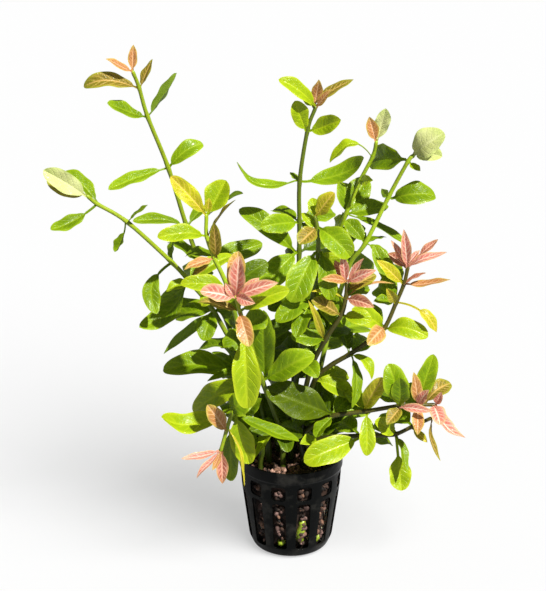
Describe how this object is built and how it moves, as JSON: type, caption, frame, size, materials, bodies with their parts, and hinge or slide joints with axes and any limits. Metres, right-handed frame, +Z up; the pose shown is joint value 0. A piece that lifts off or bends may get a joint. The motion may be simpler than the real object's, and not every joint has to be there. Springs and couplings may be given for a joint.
{
  "type": "potted aquarium plant",
  "caption": "Bushy aquarium stem plant with green leaves and pink veined shoot tips, rooted in granules in a slotted black net pot.",
  "frame": {"origin": "centre of the pot's underside, on the surface it stands on", "axes": "+Z up along the pot's axis, +X to the viewer's right and +Y away from the viewer in the picture's view"},
  "size_m": [0.1974, 0.109, 0.2524],
  "materials": {
    "lime_leaf": "satin leaf surface with fine veins",
    "green_leaf": "satin leaf surface with fine veins",
    "stem": "smooth waxy green",
    "granules": "rough brown fibre and clay granules, damp",
    "pot_plastic": "smooth black injection moulded plastic, slightly glossy"
  },
  "bodies": {
    "root": {"centre_leaf_6": "lime_leaf", "centre_pink_leaf_15": "green_leaf", "centre_pink_stem": "stem", "centre_stem": "stem", "front_rosette_leaf_11": "lime_leaf", "front_rosette_leaf_12": "green_leaf", "front_rosette_leaf_13": "lime_leaf", "front_rosette_leaf_14": "lime_leaf", "front_rosette_stem": "stem", "growing_medium": "granules", "low_front_leaf_1": "lime_leaf", "low_front_leaf_2": "green_leaf", "low_front_leaf_3": "lime_leaf", "low_front_leaf_6": "green_leaf", "low_front_stem": "stem", "low_left_leaf_13": "green_leaf", "low_left_leaf_9": "green_leaf", "low_left_stem": "stem", "low_right_leaf_15": "green_leaf", "low_right_leaf_9": "lime_leaf", "low_right_stem": "stem", "lower_right_leaf_3": "lime_leaf", "lower_right_leaf_6": "lime_leaf", "lower_right_stem": "stem", "net_pot": "pot_plastic", "right_back_leaf_10": "green_leaf", "right_back_leaf_11": "green_leaf", "right_back_leaf_16": "green_leaf", "right_back_leaf_18": "green_leaf", "right_back_leaf_5": "green_leaf", "right_back_leaf_8": "green_leaf", "right_back_stem": "stem", "right_leaf_12": "green_leaf", "right_leaf_4": "green_leaf", "right_leaf_6": "green_leaf", "right_pink_leaf_24": "green_leaf", "right_pink_stem": "stem", "right_stem": "stem", "tall_centre_leaf_14": "green_leaf", "tall_centre_leaf_15": "lime_leaf", "tall_centre_leaf_17": "green_leaf", "tall_centre_leaf_18": "green_leaf", "tall_centre_leaf_19": "green_leaf", "tall_centre_leaf_20": "green_leaf", "tall_centre_leaf_21": "green_leaf", "tall_centre_leaf_26": "green_leaf", "tall_centre_leaf_27": "green_leaf", "tall_centre_leaf_8": "green_leaf", "tall_centre_leaf_9": "lime_leaf", "tall_centre_stem": "stem", "tall_left_leaf_12": "green_leaf", "tall_left_leaf_13": "green_leaf", "tall_left_leaf_14": "lime_leaf", "tall_left_leaf_21": "green_leaf", "tall_left_leaf_7": "lime_leaf", "tall_left_stem": "stem", "yellow_tip_leaf_12": "green_leaf", "yellow_tip_leaf_13": "green_leaf", "yellow_tip_leaf_17": "green_leaf", "yellow_tip_stem": "stem"}
  },
  "joints": []
}
